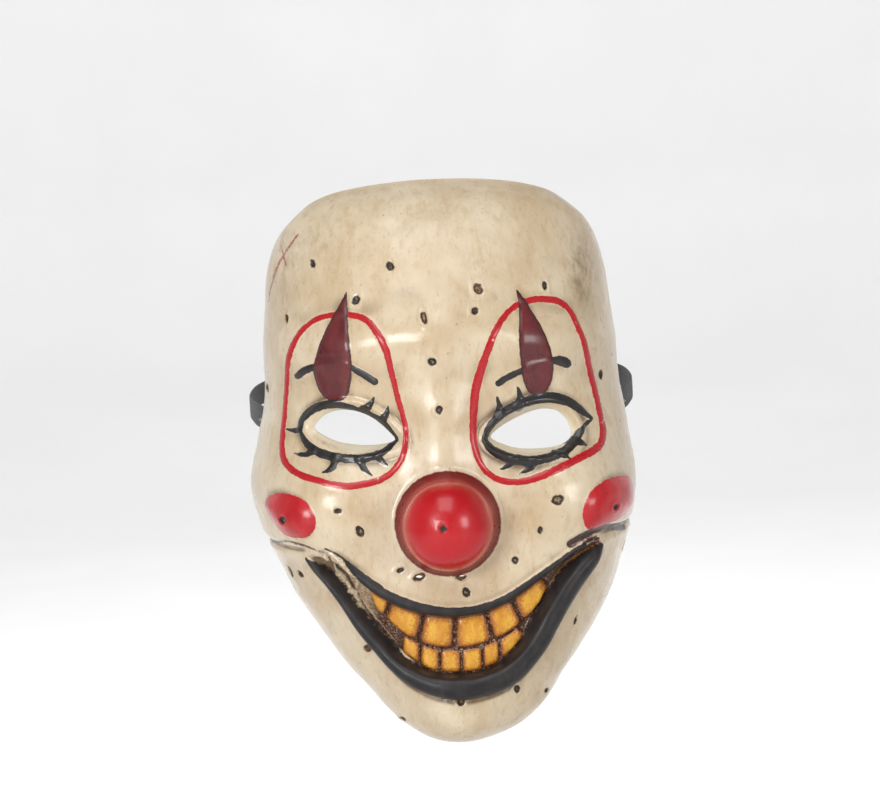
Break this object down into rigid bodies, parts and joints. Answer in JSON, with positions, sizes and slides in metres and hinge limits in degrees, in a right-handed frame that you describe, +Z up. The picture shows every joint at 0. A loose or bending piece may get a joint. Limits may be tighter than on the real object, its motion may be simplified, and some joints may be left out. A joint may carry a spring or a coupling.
{
  "type": "clown mask",
  "caption": "Vacuum-formed plastic face mask of a grinning clown with a ball nose and open eye holes, on a flat elastic that goes round the back of the head.",
  "frame": {"origin": "inner face of the shell at the bridge of the nose, at eye level, where the mask sits on its wearer", "axes": "-Y the way the face looks, +Y towards the wearer's head, +X to the viewer's right, +Z up"},
  "size_m": [0.159, 0.213, 0.2174],
  "materials": {
    "painted_plastic": "aged cream paint with red, maroon, black and gold details under a clear gloss",
    "black_elastic": "matt woven elastic",
    "staple_steel": "plain bright wire"
  },
  "bodies": {
    "root": {"mask_shell": "painted_plastic", "elastic_band": "black_elastic", "staple_left": "staple_steel", "staple_right": "staple_steel"}
  },
  "joints": []
}
